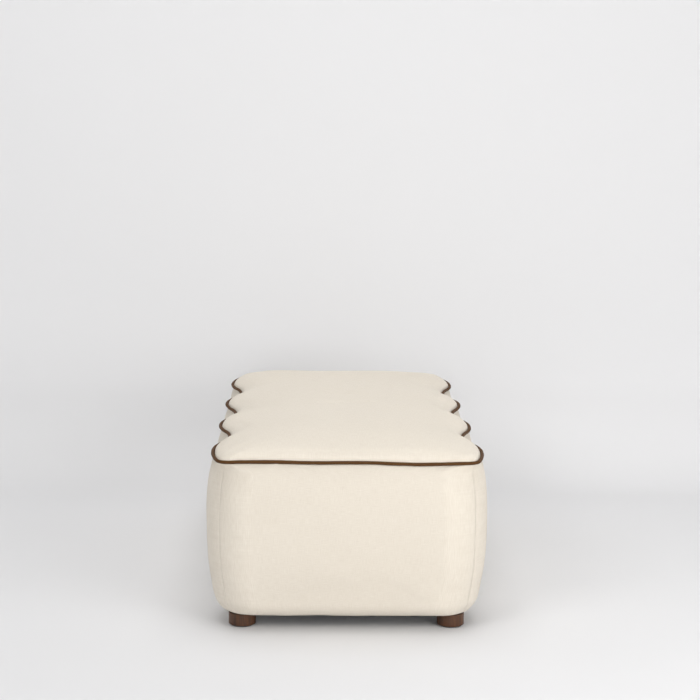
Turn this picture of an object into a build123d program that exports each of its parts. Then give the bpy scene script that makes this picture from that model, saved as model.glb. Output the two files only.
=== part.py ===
"""A bench ottoman with scalloped long sides, a crowned seat, contrast piping and four round wooden feet.

Millimetres, +Z up. Y runs along the length, X across the width. The origin is on the floor under the middle.
Left is -X, right is +X, the front end is -Y and the back end is +Y.
"""

from build123d import *
import math
import os

# Overall form
length = 1200  # between the end faces, at the piping
width = 600  # between opposite lobe crests, at the piping
piping_height = 380  # floor to the middle of the piping
crown_height = 45  # rise of the seat above its seam

# Scalloped outline
lobes_per_side = 4
end_crest_distance = 132  # end face to the first lobe's crest
scallop_depth = 29
end_lobe_radius = 400  # the flatter outer half of each corner lobe
corner_radius = 32  # at the piping
seam_inset = 4  # lobe crest line to where the corner seams' planes meet the end line

# Upright curve of the sides
side_bulge = 10.5
under_round = 42  # rounding of the lower edge
soft_corner_radius = 100  # of the padded corners between the piping and the lower edge
lower_corner_radius = 60  # at the turned-under edge
upper_corner_blend = 30  # height over which the piping's corners become the soft ones
lower_corner_blend = 20  # height over which the soft ones become the lower ones
top_tuck = 4  # how far the sides draw in under the piping
# Height and bulge of the sides, from the end of the lower rounding up to the piping
side_shares = (
    (0.0, -0.33), (0.06, -0.08), (0.14, 0.33), (0.24, 0.7), (0.36, 0.92), (0.49, 1.0),
    (0.62, 1.0), (0.74, 0.84), (0.84, 0.52), (0.91, 0.08), (0.96, -0.24),
)
# Inset and rise of the crown, from the seat's seam to its middle
crown_shares = (
    (0.0, 0.0), (0.005, 0.1), (0.018, 0.21), (0.049, 0.345), (0.103, 0.467), (0.183, 0.583),
    (0.298, 0.696), (0.449, 0.807), (0.627, 0.903), (0.813, 0.967), (1.0, 1.0),
)
crown_reach_share = 0.77  # how far the crown goes on rising, as a share of half the width
least_depth_share = 0.05  # scallop that is left in the middle of the crown
crown_corner_share = 0.25  # how much rounder the crown's corners get with each inset
widest_corner_share = 0.8  # the roundest corner, as a share of half the section's width

# Cover and piping
fabric_thickness = 1.2
layer_gap = 0.3  # between soft layers
piping_diameter = 7.5
piping_hide = 1  # thickness of the piping's covering
piping_cord_clearance = 0.1
piping_setback = 1.5  # middle of the piping inside the outline
piping_flange_reach = 15
seam_clearance = 0.4
top_lip_width = 11  # turned-in edge along the piping
under_lip_width = 28  # turned-under edge below the base
dust_cover_thickness = 0.6
dust_cover_margin = 12  # the dust cover's edge, outside the turned-under edge
piping_radius = piping_diameter / 2
piping_flange_thickness = 2 * piping_hide

# Padding
side_pad_thickness = 40  # beside the frame
upper_pad_thickness = 24  # beside the seat's slab, which lies on the pads' shoulder
seat_slab_thickness = 54
slab_corner_radius = 20
hessian_thickness = 1

# Timber frame
board_thickness = 18
liner_thickness = 3
liner_lift = 4  # the base's underside to the boards' lower edge
glue_gap = 0.2
frame_corner_radius = 50
side_rail_least_width = 50
end_rail_width = 84
cross_rail_width = 60
cross_lap_length = 36
post_size = 40
post_setback = 8
stretcher_depth = 60
stretcher_thickness = 18
stretcher_housing = 12
stretcher_drop = 8  # top rail's underside to the stretcher

# Webbing
strap_width = 60
strap_thickness = 2
strap_lift = 0.1  # clearance where straps cross
long_straps = 2
cross_straps = 6
long_strap_pitch = 180
strap_landing = 36  # strap end held on the rail

# Feet
foot_diameter = 60
foot_height = 27
foot_edge_round = 2
foot_top_chamfer = 1
foot_side_inset = 69  # crest line to the foot's middle
foot_end_inset = 75  # end face to the foot's middle
glide_diameter = 50
glide_thickness = 3

# Fasteners
bolt_diameter = 8
bolt_foot_depth = 20
bolt_tip = 3
bolt_clearance = 0.2
tee_barrel_wall = 1.2
tee_barrel_length = 10
tee_flange_diameter = 22
tee_flange_thickness = 1.5
tee_prongs = 4
prong_length = 6
prong_width = 3
prong_thickness = 1.2
screw_diameter = 5
screw_length = 60
screw_head_diameter = 10
screw_head_height = 3
screw_tip = 6
screw_clearance = 0.1
staple_width = 10
staple_leg = 9
staple_wire = 1
staple_clearance = 0.05
cover_staple_pitch = 72
cover_staple_inset = 8  # the dust cover's edge to its staples
strap_staples = 2
strap_staple_inset = 14  # strap end to its staples

overrun = 60  # how far cutting tools pass what they cut
wedge_reach = 150  # how far inside the corner seams the end wedge starts

# Places that follow from the sizes above
half_length = length / 2
half_width = width / 2
lobe_pitch = 2 * (half_length - end_crest_distance) / (lobes_per_side - 1)
crests = [(i - (lobes_per_side - 1) / 2) * lobe_pitch for i in range(lobes_per_side)]
seam_x = half_width - seam_inset

dust_bottom = glide_thickness + foot_height
cover_bottom = dust_bottom + dust_cover_thickness
base_bottom = cover_bottom + fabric_thickness
base_top = base_bottom + board_thickness

flange_bottom = piping_height - piping_radius
flange_top = flange_bottom + piping_flange_thickness
crown_base = flange_top
crown_edge = piping_setback + piping_radius + seam_clearance
crown_reach = half_width * crown_reach_share
seat_base = crown_base + fabric_thickness + layer_gap

slab_bottom = seat_base - seat_slab_thickness
hessian_bottom = slab_bottom - layer_gap - hessian_thickness
strap_plane = hessian_bottom - layer_gap - 2 * strap_thickness - strap_lift
frame_top = strap_plane
top_rail_bottom = frame_top - board_thickness

liner_grow = -(fabric_thickness + layer_gap + side_pad_thickness + layer_gap)
frame_grow = liner_grow - liner_thickness - glue_gap
slab_grow = -(fabric_thickness + layer_gap + upper_pad_thickness + layer_gap)
frame_half_width = half_width + frame_grow
frame_half_length = half_length + frame_grow
rail_inner_x = frame_half_width - scallop_depth - side_rail_least_width
end_rail_inner_y = frame_half_length - end_rail_width
post_x = frame_half_width - post_setback - post_size / 2
end_post_y = frame_half_length - post_setback - post_size / 2
foot_x = half_width - foot_side_inset
foot_y = half_length - foot_end_inset
inner_crests = crests[1:-1]
long_strap_places = [(i - (long_straps - 1) / 2) * long_strap_pitch for i in range(long_straps)]
cross_strap_pitch = 2 * end_rail_inner_y / cross_straps
cross_strap_places = [(i - (cross_straps - 1) / 2) * cross_strap_pitch for i in range(cross_straps)]
under_lip_edge = -(under_round + under_lip_width)
dust_edge = under_lip_edge + dust_cover_margin


# The scalloped outline


def right_side(grow, depth, corner, pitch):
    """Edges up the right side, from the front end line to the back one, and the corner where they end."""
    edge_x = half_width + grow
    edge_y = half_length + grow
    ends = (lobes_per_side - 1) / 2 * pitch
    turn = 2 * math.atan2(depth, pitch / 2)
    mean_radius = pitch / 4 / math.sin(turn)
    crest_radius = mean_radius + grow
    end_radius = end_lobe_radius + grow
    end_arc_x = edge_x - end_radius
    corner_y = edge_y - corner
    corner_x = end_arc_x + math.sqrt((end_radius - corner) ** 2 - (corner_y - ends) ** 2)
    lean = math.atan2(corner_y - ends, corner_x - end_arc_x)
    corner_lean = (lean + math.pi / 2) / 2
    run = crest_radius * math.sin(turn)
    turn_x = edge_x - crest_radius * (1 - math.cos(turn))
    half_run = crest_radius * math.sin(turn / 2)
    half_x = edge_x - crest_radius * (1 - math.cos(turn / 2))

    def on_end_arc(angle):
        return end_arc_x + end_radius * math.cos(angle), ends + end_radius * math.sin(angle)

    def on_corner(angle):
        return corner_x + corner * math.cos(angle), corner_y + corner * math.sin(angle)

    outer = [
        ThreePointArc((edge_x, ends), on_end_arc(lean / 2), on_end_arc(lean)),
        ThreePointArc(on_end_arc(lean), on_corner(corner_lean), (corner_x, edge_y)),
    ]
    edges = [edge.mirror(Plane.XZ) for edge in reversed(outer)]
    for i in range(lobes_per_side):
        crest = -ends + i * pitch
        first, last = i == 0, i == lobes_per_side - 1
        if first:
            edges.append(ThreePointArc((edge_x, crest), (half_x, crest + half_run), (turn_x, crest + run)))
        elif last:
            edges.append(ThreePointArc((turn_x, crest - run), (half_x, crest - half_run), (edge_x, crest)))
        else:
            edges.append(ThreePointArc((turn_x, crest - run), (edge_x, crest), (turn_x, crest + run)))
        if not last:
            valley = (edge_x - depth, crest + pitch / 2)
            edges.append(ThreePointArc((turn_x, crest + run), valley, (turn_x, crest + pitch - run)))
    return edges + outer, corner_x, edge_y


def outline(grow, height=0, depth=scallop_depth, corner=None, pitch=None):
    """The closed outline at a height, grown outwards by grow. It starts at the middle of the front end."""
    corner = corner_radius + grow if corner is None else corner
    side, x, y = right_side(grow, depth, corner, lobe_pitch if pitch is None else pitch)
    edges = [Line((0, -y), (x, -y)), *side, Line((x, y), (-x, y))]
    edges += [edge.mirror(Plane.YZ) for edge in reversed(side)]
    edges.append(Line((-x, -y), (0, -y)))
    return Pos(0, 0, height) * Wire(edges)


def prism(grow, low, high, corner=frame_corner_radius):
    """The outline as an upright block."""
    return extrude(Face(outline(grow, low, corner=corner)), high - low)


def block(low_x, high_x, low_y, high_y, low_z, high_z):
    """A box by its two corners."""
    middle = Pos((low_x + high_x) / 2, (low_y + high_y) / 2, (low_z + high_z) / 2)
    return middle * Box(high_x - low_x, high_y - low_y, high_z - low_z)


# The cover's surface, as sections that each layer of padding follows


def inwards(points, offset, end_shifts):
    """Points of a (grow, height) curve moved inwards along its normal, or along the shift given at an end."""
    moved = []
    for i, (grow, height) in enumerate(points):
        before, after = points[max(i - 1, 0)], points[min(i + 1, len(points) - 1)]
        along = (after[0] - before[0], after[1] - before[1])
        size = math.hypot(*along)
        normal = (along[1] / size, -along[0] / size)
        normal = end_shifts.get(i, normal)
        moved.append((grow - offset * normal[0], height - offset * normal[1]))
    return moved


def side_curve():
    """The sides' (grow, height) curve, from the turned-under edge up to the piping."""
    top = flange_bottom
    shoulder = cover_bottom + under_round
    dip = side_bulge * side_shares[0][1]
    turns = [i * math.pi / 8 for i in range(4)]
    curve = []
    for turn in turns:
        grow = (dip + under_round) * math.sin(turn) - under_round
        curve.append((grow, shoulder - under_round * math.cos(turn)))
    curve += [(side_bulge * bulge, shoulder + (top - shoulder) * rise) for rise, bulge in side_shares]
    return curve + [(-top_tuck, top)]


def side_corner(height):
    """The corners' radius at a height of the sides."""
    down = min((flange_bottom - height) / upper_corner_blend, 1)
    up = min((height - cover_bottom) / lower_corner_blend, 1)
    upper = corner_radius + (soft_corner_radius - corner_radius) * math.sin(down * math.pi / 2)
    lower = lower_corner_radius + (soft_corner_radius - lower_corner_radius) * math.sin(up * math.pi / 2)
    return min(upper, lower)


def side_body(offset):
    """The space inside the sides' surface, this far in from the cover's outside."""
    curve = side_curve()
    layer = inwards(curve, offset, {0: (0, -1), len(curve) - 1: (1, 1)})
    sections = []
    for (grow, level), (layer_grow, height) in zip(curve, layer):
        corner = side_corner(level) + layer_grow - grow
        sections.append(Face(outline(layer_grow, height, corner=corner)))
    return loft(sections)


def crown_body(offset, base):
    """The space inside the crown's surface, this far in from the cover's outside and above base."""
    curve = [
        (-(crown_edge + (crown_reach - crown_edge) * inset), crown_base + crown_height * rise)
        for inset, rise in crown_shares
    ]
    layer = inwards(curve, offset, {len(curve) - 1: (0, 1)})
    sections = []
    for (grow, _), (layer_grow, height) in zip(curve, layer):
        fade = 1 + (grow + crown_edge) / (crown_reach - crown_edge)
        depth = scallop_depth * (least_depth_share + (1 - least_depth_share) * fade)
        pitch = lobe_pitch * (half_length + crown_edge + grow) / half_length
        corner = corner_radius - crown_edge - crown_corner_share * (grow + crown_edge)
        corner = min(corner, widest_corner_share * (half_width + grow - depth)) + layer_grow - grow
        sections.append(Face(outline(layer_grow, height, depth, corner, pitch)))
    body = loft(sections)
    ceiling = crown_base + crown_height + overrun
    return body & block(-half_width, half_width, -half_length, half_length, base, ceiling)


def end_wedge(end):
    """The wedge between the two corner seams of one end, +1 for the back and -1 for the front."""
    reach = overrun
    corners = [
        (seam_x - wedge_reach, half_length - wedge_reach),
        (seam_x + reach, half_length + reach),
        (-seam_x - reach, half_length + reach),
        (wedge_reach - seam_x, half_length - wedge_reach),
    ]
    wedge = extrude(Face(Polyline([(x, end * y) for x, y in corners], close=True)), piping_height + overrun)
    return wedge if wedge.bounding_box().min.Z >= 0 else Pos(0, 0, piping_height + overrun) * wedge


def split_at_corners(ring):
    """A ring cut at the four corner seams: front, back, left and right."""
    front, back = end_wedge(-1), end_wedge(1)
    sides = ring - front - back
    far_x, far_y = half_width + overrun, half_length + overrun
    tall = piping_height + overrun
    return {
        "front": ring & front,
        "back": ring & back,
        "left": sides & block(-far_x, 0, -far_y, far_y, 0, tall),
        "right": sides & block(0, far_x, -far_y, far_y, 0, tall),
    }


# Fasteners


def turned(points):
    """A solid of revolution about Z from its (radius, height) outline."""
    return revolve(Plane.XZ * Face(Polyline(points, close=True)), Axis.Z)


def screw(clearance):
    """A countersunk screw, head down at the origin and tip up."""
    shank = screw_diameter / 2 + clearance
    head = screw_head_diameter / 2 + clearance
    tip = screw_length + clearance
    return turned([(0, 0), (head, 0), (shank, screw_head_height), (shank, tip - screw_tip), (0, tip)])


def staple(clearance):
    """A staple with its crown on the XY plane, above it, and its legs down, set across X."""
    thick = staple_wire / 2 + clearance
    reach = staple_width / 2
    legs = [
        block(side * (reach - staple_wire / 2) - thick, side * (reach - staple_wire / 2) + thick,
              -thick, thick, -staple_leg - clearance, staple_wire)
        for side in (-1, 1)
    ]
    return block(-reach, reach, -thick, thick, 0, staple_wire) + legs[0] + legs[1]


def hanger_bolt(clearance):
    """The bolt that holds a foot, from inside the foot up through the base."""
    radius = bolt_diameter / 2 + clearance
    low = dust_bottom - bolt_foot_depth
    high = base_top + tee_flange_thickness
    tip = [(0, low), (radius - bolt_tip / 2, low), (radius, low + bolt_tip)]
    return turned(tip + [(radius, high), (0, high)])


def tee_nut_body():
    """A pronged tee nut without its bore, its flange on the base's top face."""
    barrel_radius = bolt_diameter / 2 + bolt_clearance + tee_barrel_wall
    flange_radius = tee_flange_diameter / 2
    low = base_top - tee_barrel_length
    body = turned([
        (0, low), (barrel_radius, low), (barrel_radius, base_top), (flange_radius, base_top),
        (flange_radius, base_top + tee_flange_thickness), (0, base_top + tee_flange_thickness),
    ])
    inner = flange_radius - prong_thickness
    prong = block(inner, flange_radius - prong_thickness / 4, -prong_width / 2, prong_width / 2,
                  base_top - prong_length, base_top + tee_flange_thickness / 2)
    for i in range(tee_prongs):
        body += Rot(0, 0, i * 360 / tee_prongs) * prong
    return body


def at_feet(piece):
    """A copy of a piece at each foot."""
    return [Pos(x, y, 0) * piece for y in (-foot_y, foot_y) for x in (-foot_x, foot_x)]


def post_places():
    """The middle of each post by its name."""
    places = {}
    for name, side in (("left", -1), ("right", 1)):
        for i, crest in enumerate(crests):
            places[f"post_{name}_{i + 1}"] = (side * post_x, crest)
    places["post_front"] = (0, -end_post_y)
    places["post_back"] = (0, end_post_y)
    return places


def frame_screws(clearance):
    """Screws up through the base and down through the top, one at each end of each post."""
    placed = []
    for x, y in post_places().values():
        placed.append(Pos(x, y, base_bottom) * screw(clearance))
        placed.append(Pos(x, y, frame_top) * Rot(180, 0, 0) * screw(clearance))
    return placed


def cover_staples(clearance):
    """Staples that hold the dust cover and the turned-under edge to the base."""
    track = outline(dust_edge - cover_staple_inset, 0, corner=frame_corner_radius)
    count = round(track.length / cover_staple_pitch)
    placed = []
    for i in range(count):
        share = (i + 1 / 2) / count
        spot, along = track.position_at(share), track.tangent_at(share)
        heading = math.degrees(math.atan2(along.Y, along.X))
        to_foot = math.hypot(abs(spot.X) - foot_x, abs(spot.Y) - foot_y) - foot_diameter / 2
        to_screw = min(math.hypot(spot.X - x, spot.Y - y) for x, y in post_places().values())
        to_screw -= screw_head_diameter / 2
        if to_foot < staple_width or to_screw < staple_width / 2 + staple_wire:
            continue
        placed.append(Pos(spot.X, spot.Y, dust_bottom) * Rot(0, 180, heading) * staple(clearance))
    return placed


def strap_staple_places():
    """Where each strap is stapled, and the heading of the staple."""
    shifts = [((i + 1 / 2) / strap_staples - 1 / 2) * strap_width for i in range(strap_staples)]
    across = rail_inner_x + strap_landing - strap_staple_inset
    along = end_rail_inner_y + strap_landing - strap_staple_inset
    places = []
    for side in (-1, 1):
        for shift in shifts:
            places += [(side * across, y + shift, 90) for y in cross_strap_places]
            places += [(x + shift, side * along, 0) for x in long_strap_places]
    return places


def strap_staples_placed(clearance):
    """The staples through the straps' ends into the top rails."""
    top = frame_top + strap_thickness
    placed = staple(clearance)
    return [Pos(x, y, top) * Rot(0, 0, heading) * placed for x, y, heading in strap_staple_places()]


# Feet


def make_feet():
    """Four turned feet, bored for their bolts, with a felt glide under each."""
    radius = foot_diameter / 2
    foot = Pos(0, 0, glide_thickness + foot_height / 2) * Cylinder(radius, foot_height)
    foot = fillet(foot.edges().sort_by(Axis.Z)[0], foot_edge_round)
    foot = chamfer(foot.edges().sort_by(Axis.Z)[-1], foot_top_chamfer)
    foot -= hanger_bolt(bolt_clearance)
    glide = Pos(0, 0, glide_thickness / 2) * Cylinder(glide_diameter / 2, glide_thickness)
    names = ("front_left", "front_right", "back_left", "back_right")
    made = {f"foot_{name}": placed for name, placed in zip(names, at_feet(foot))}
    made["felt_glides"] = Compound(children=at_feet(glide))
    made["hanger_bolts"] = Compound(children=at_feet(hanger_bolt(0)))
    made["tee_nuts"] = Compound(children=at_feet(tee_nut_body() - hanger_bolt(bolt_clearance)))
    return made


# Timber frame


def rail_layer(low, layer_name, cross_laps):
    """One flat frame of side and end rails, half-lapped at the corners, with housings for cross rails."""
    high = low + board_thickness
    middle = (low + high) / 2
    plate = prism(frame_grow, low, high)
    far_x, far_y = half_width, half_length
    made = {}
    for name, side in (("left", -1), ("right", 1)):
        inner, outer = sorted((side * rail_inner_x, side * far_x))
        rail = plate & block(inner, outer, -far_y, far_y, low, high)
        for end in (-1, 1):
            near, far = sorted((end * end_rail_inner_y, end * far_y))
            rail -= block(inner, outer, near, far, middle, high)
        for y in cross_laps:
            lap_near, lap_far = sorted((side * rail_inner_x, side * (rail_inner_x + cross_lap_length)))
            rail -= block(lap_near, lap_far, y - cross_rail_width / 2, y + cross_rail_width / 2, middle, high)
        made[f"{layer_name}_side_rail_{name}"] = rail
    for name, end in (("front", -1), ("back", 1)):
        near, far = sorted((end * end_rail_inner_y, end * far_y))
        rail = plate & block(-far_x, far_x, near, far, low, high)
        for side in (-1, 1):
            inner, outer = sorted((side * rail_inner_x, side * far_x))
            rail -= block(inner, outer, near, far, low, middle)
        made[f"{layer_name}_end_rail_{name}"] = rail
    return made


def make_base():
    """The base frame: rails, and cross rails lapped into them under the inner posts."""
    made = rail_layer(base_bottom, "base", inner_crests)
    middle = (base_bottom + base_top) / 2
    lap_x = rail_inner_x + cross_lap_length
    for i, y in enumerate(inner_crests):
        low_y, high_y = y - cross_rail_width / 2, y + cross_rail_width / 2
        rail = block(-rail_inner_x, rail_inner_x, low_y, high_y, base_bottom, base_top)
        made[f"base_cross_rail_{i + 1}"] = rail + block(-lap_x, lap_x, low_y, high_y, middle, base_top)
    holes = at_feet(tee_nut_body() + hanger_bolt(bolt_clearance))
    holes += frame_screws(screw_clearance) + cover_staples(staple_clearance)
    return {name: cut_by_near(rail, holes) for name, rail in made.items()}


def make_top():
    """The top frame, which carries the webbing, and two stretchers housed in the inner posts."""
    holes = frame_screws(screw_clearance) + strap_staples_placed(staple_clearance)
    made = {name: cut_by_near(rail, holes) for name, rail in rail_layer(top_rail_bottom, "top", ()).items()}
    high = top_rail_bottom - stretcher_drop
    reach = post_x - post_size / 2 + stretcher_housing
    half = stretcher_thickness / 2
    for i, y in enumerate(inner_crests):
        stretcher = block(-reach, reach, y - half, y + half, high - stretcher_depth, high)
        made[f"stretcher_{i + 1}"] = stretcher
    return made


def make_posts(stretchers):
    """Ten posts between base and top, with screw holes, and housings for the stretchers."""
    holes = frame_screws(screw_clearance) + stretchers
    half = post_size / 2
    return {
        name: cut_by_near(block(x - half, x + half, y - half, y + half, base_top, top_rail_bottom), holes)
        for name, (x, y) in post_places().items()
    }


def make_liners():
    """Thin boards bent round the frame, for the padding to lie on."""
    low = base_bottom + liner_lift
    outer = prism(liner_grow, low, frame_top, frame_corner_radius + liner_thickness)
    ring = outer - prism(liner_grow - liner_thickness, low, frame_top)
    return {f"liner_{name}": piece for name, piece in split_at_corners(ring).items()}


def cut_by_near(piece, tools):
    """A piece cut by those tools whose boxes reach it."""
    box = piece.bounding_box()
    near = [tool for tool in tools if box.overlaps(tool.bounding_box())]
    return piece - near if near else piece


# Webbing and seat


def wavy_strap(half_span, landing_end, lifts):
    """A strap along X that passes over and under the straps that it crosses, given as (place, up or down)."""
    clear = strap_width / 2 + strap_thickness
    lift = strap_thickness + strap_lift
    line = [(-landing_end, 0), (-half_span, 0)]
    for place, way in lifts:
        line += [(place - clear, way * lift), (place + clear, way * lift)]
    line += [(half_span, 0), (landing_end, 0)]
    low = [(x, frame_top + z) for x, z in line]
    high = [(x, z + strap_thickness) for x, z in reversed(low)]
    face = Plane.XZ * Face(Polyline(low + high, close=True))
    return Pos(0, strap_width / 2, 0) * extrude(face, strap_width)


def make_webbing():
    """Straps stapled across the top frame, woven over and under each other."""
    holes = strap_staples_placed(staple_clearance)
    made = {}
    end_y = end_rail_inner_y + strap_landing
    for i, x in enumerate(long_strap_places):
        low, high = x - strap_width / 2, x + strap_width / 2
        strap = block(low, high, -end_y, end_y, frame_top, frame_top + strap_thickness)
        made[f"webbing_long_{i + 1}"] = cut_by_near(strap, holes)
    for i, y in enumerate(cross_strap_places):
        lifts = [(x, (-1) ** (i + j)) for j, x in enumerate(long_strap_places)]
        strap = Pos(0, y, 0) * wavy_strap(rail_inner_x, rail_inner_x + strap_landing, lifts)
        made[f"webbing_cross_{i + 1}"] = cut_by_near(strap, holes)
    return made


def make_seat():
    """Hessian over the webbing, a firm slab and a crowned topper of softer foam."""
    return {
        "hessian": prism(frame_grow, hessian_bottom, hessian_bottom + hessian_thickness),
        "seat_foam_slab": prism(slab_grow, slab_bottom, seat_base - layer_gap, slab_corner_radius),
        "seat_foam_crown": crown_body(fabric_thickness + layer_gap, seat_base),
    }


def make_pads():
    """Foam round the frame and the slab, thicker beside the frame, so that it carries the slab's edge."""
    shoulder = slab_bottom - layer_gap
    ring = side_body(fabric_thickness + layer_gap)
    ring -= prism(liner_grow + layer_gap, 0, shoulder, frame_corner_radius + liner_thickness)
    ring -= prism(slab_grow + layer_gap, shoulder, piping_height + overrun, slab_corner_radius)
    return {f"pad_{name}": piece for name, piece in split_at_corners(ring).items()}


# Cover and piping


def make_cover():
    """Four bands sewn at the corners, turned in at the piping and under the base, and the seat's panel."""
    inner_top = -(top_tuck + top_lip_width)
    ring = side_body(0) - side_body(fabric_thickness)
    ring -= prism(under_lip_edge, 0, base_top, corner_radius)
    ring -= prism(inner_top, base_top, piping_height, corner_radius)
    holes = cover_staples(staple_clearance) + at_feet(hanger_bolt(bolt_clearance))
    made = {f"cover_{name}": cut_by_near(piece, holes) for name, piece in split_at_corners(ring).items()}
    top = crown_body(0, crown_base) - crown_body(fabric_thickness, crown_base + fabric_thickness)
    made["cover_top"] = top - prism(-(crown_edge + top_lip_width), 0, seat_base, corner_radius)
    return made


def make_piping():
    """A cord wrapped in a covering, whose two edges leave it as a flange in the seam."""
    path = outline(-piping_setback, piping_height)
    plane = Plane(origin=path.position_at(0), x_dir=(0, 1, 0), z_dir=(1, 0, 0))
    bore = Circle(piping_radius - piping_hide)
    flange = Pos(piping_flange_reach / 2, (piping_flange_thickness - piping_diameter) / 2)
    section = Circle(piping_radius) + flange * Rectangle(piping_flange_reach, piping_flange_thickness) - bore
    cord = Circle(piping_radius - piping_hide - piping_cord_clearance)
    return {
        "piping_cover": sweep(plane * section, path),
        "piping_cord": sweep(plane * cord, path),
    }


def make_dust_cover():
    """The cloth under the base, with holes for the foot bolts and the staples."""
    sheet = prism(dust_edge, dust_bottom, cover_bottom, corner_radius)
    holes = at_feet(hanger_bolt(bolt_clearance)) + cover_staples(staple_clearance)
    return {"dust_cover": sheet - holes}


# The whole ottoman

pieces = {}
pieces.update(make_feet())
pieces.update(make_base())
pieces.update(make_top())
pieces.update(make_posts([pieces[name] for name in pieces if name.startswith("stretcher")]))
pieces.update(make_liners())
pieces.update(make_webbing())
pieces.update(make_seat())
pieces.update(make_pads())
pieces.update(make_cover())
pieces.update(make_piping())
pieces.update(make_dust_cover())
pieces["frame_screws"] = Compound(children=frame_screws(0))
pieces["staples"] = Compound(children=cover_staples(0) + strap_staples_placed(0))

os.makedirs("parts", exist_ok=True)
for name, piece in pieces.items():
    export_step(piece, f"parts/{name}.step")
print(len(pieces), "pieces")
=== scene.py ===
"""Looks of the scalloped bench ottoman: cover, piping, padding, frame finishes, stage, light and camera.

Metres, +Z up. The front end is at -Y and the sides are at -X and +X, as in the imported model.
"""

import math
import random

import bpy
import numpy as np
from mathutils import Matrix, Vector


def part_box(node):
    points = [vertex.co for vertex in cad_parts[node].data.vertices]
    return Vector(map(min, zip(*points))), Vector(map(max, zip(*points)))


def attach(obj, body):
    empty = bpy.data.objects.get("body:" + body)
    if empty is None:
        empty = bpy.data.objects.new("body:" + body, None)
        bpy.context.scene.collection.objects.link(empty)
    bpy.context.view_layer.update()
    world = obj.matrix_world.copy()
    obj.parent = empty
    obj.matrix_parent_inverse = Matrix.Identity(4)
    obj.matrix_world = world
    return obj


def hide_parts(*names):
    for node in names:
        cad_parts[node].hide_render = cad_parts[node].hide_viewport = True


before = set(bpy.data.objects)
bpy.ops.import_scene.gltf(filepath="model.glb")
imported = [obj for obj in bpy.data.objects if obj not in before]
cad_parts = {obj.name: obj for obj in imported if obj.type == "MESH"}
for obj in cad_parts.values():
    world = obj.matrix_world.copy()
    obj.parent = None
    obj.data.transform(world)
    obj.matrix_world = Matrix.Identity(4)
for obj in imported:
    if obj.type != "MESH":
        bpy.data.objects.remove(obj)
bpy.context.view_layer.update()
mm = 0.001

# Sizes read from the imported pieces
piping_low, piping_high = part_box("piping_cover")
seat_low, seat_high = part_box("cover_top")
left_low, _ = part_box("cover_left")
liner_low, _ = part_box("liner_left")
foam_low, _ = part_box("seat_foam_crown")
slab_low, slab_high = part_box("seat_foam_slab")
hessian_low, hessian_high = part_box("hessian")
dust_low, dust_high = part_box("dust_cover")
glide_low, glide_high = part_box("felt_glides")

# The outline
piping_setback = 1.5 * mm  # middle of the piping inside the outline
piping_radius = (piping_high.z - piping_low.z) / 2
piping_height = (piping_high.z + piping_low.z) / 2
piping_hide = 1 * mm  # thickness of the piping's covering
piping_flange_reach = 15 * mm
cord_gap = 0.3 * mm
cord_lay = 14 * mm  # length of one turn of the cord's strands
half_width = piping_high.x - piping_radius + piping_setback
half_length = piping_high.y - piping_radius + piping_setback
lobes_per_side = 4
end_crest_distance = 132 * mm
scallop_depth = 29 * mm
end_lobe_radius = 400 * mm
corner_radius = 32 * mm  # at the piping
seam_share = 0.53  # where the upright seams lie along the corners' arcs
lobe_pitch = 2 * (half_length - end_crest_distance) / (lobes_per_side - 1)

# Points of the outline's runs, for a fineness of one, and the fineness of the meshes
corner_steps = 5
end_lobe_steps = 6
lobe_steps = 4
hollow_steps = 8
end_line_steps = 16
cover_fine = 4
piping_fine = 6
tube_steps = 20

# The upright curve of the sides
side_bulge = 10.5 * mm
under_round = 42 * mm
soft_corner_radius = 100 * mm  # of the padded corners
lower_corner_radius = 60 * mm
upper_corner_blend = 30 * mm
lower_corner_blend = 20 * mm
top_tuck = 4 * mm
under_lip_edge = -70 * mm
under_steps = 4
side_curve_steps = 3
cover_bottom = left_low.z
side_shares = (
    (0.0, -0.33), (0.06, -0.08), (0.14, 0.33), (0.24, 0.7), (0.36, 0.92), (0.49, 1.0),
    (0.62, 1.0), (0.74, 0.84), (0.84, 0.52), (0.91, 0.08), (0.96, -0.24),
)

# The crown
crown_edge = half_width - seat_high.x
crown_base = seat_low.z
crown_height = seat_high.z - seat_low.z
crown_reach_share = 0.77  # of the half width
crown_reach = crown_reach_share * half_width
crown_shares = (
    (0.0, 0.0), (0.005, 0.1), (0.018, 0.21), (0.049, 0.345), (0.103, 0.467), (0.183, 0.583),
    (0.298, 0.696), (0.449, 0.807), (0.627, 0.903), (0.813, 0.967), (1.0, 1.0),
)
least_depth_share = 0.05
crown_corner_share = 0.25
widest_corner_share = 0.8
seat_curve_steps = 4
topper_curve_steps = 3

# Cloth
cloth_thickness = 1.2 * mm
layer_gap = 0.3 * mm
under_cloth = cloth_thickness + layer_gap
seam_draw = 0.4 * mm  # how far an upright seam pulls the cover in
seam_reach = 4 * mm
hessian_sag = 0.3 * mm
dust_sag = 0.4 * mm
held_edge = 12 * mm  # of the flat sheets, which stays level

# Simulation of the cover
cloth_frames = 14
cloth_quality = 3
cloth_bending = 2
cloth_stretch_share = 0.004
side_pressure = 4
seat_pressure = 1
most_swell = 2 * mm
held_rows = 6  # of the sides' points, from the turned-under edge up

# Padding
liner_grow = -liner_low.x - half_width  # outer face of the boards behind the side pads
slab_grow = slab_high.x - half_width
slab_corner_radius = 20 * mm
frame_corner_radius = 50 * mm
foam_edge_round = 5 * mm
pad_corner_softening = 6 * mm
pad_corner_clearance = 3 * mm
pad_lift = 4 * mm  # of the pads' inner lower edge
topper_edge = 1 * mm  # least height of the topper's edge
least_rise = 0.3 * mm  # of the topper above its underside

# Frame, straps and glides
board_thickness = 18 * mm
strap_width = 60 * mm
strap_gap = 0.1 * mm
strap_landing = 36 * mm
glide_radius = 25 * mm

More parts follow.
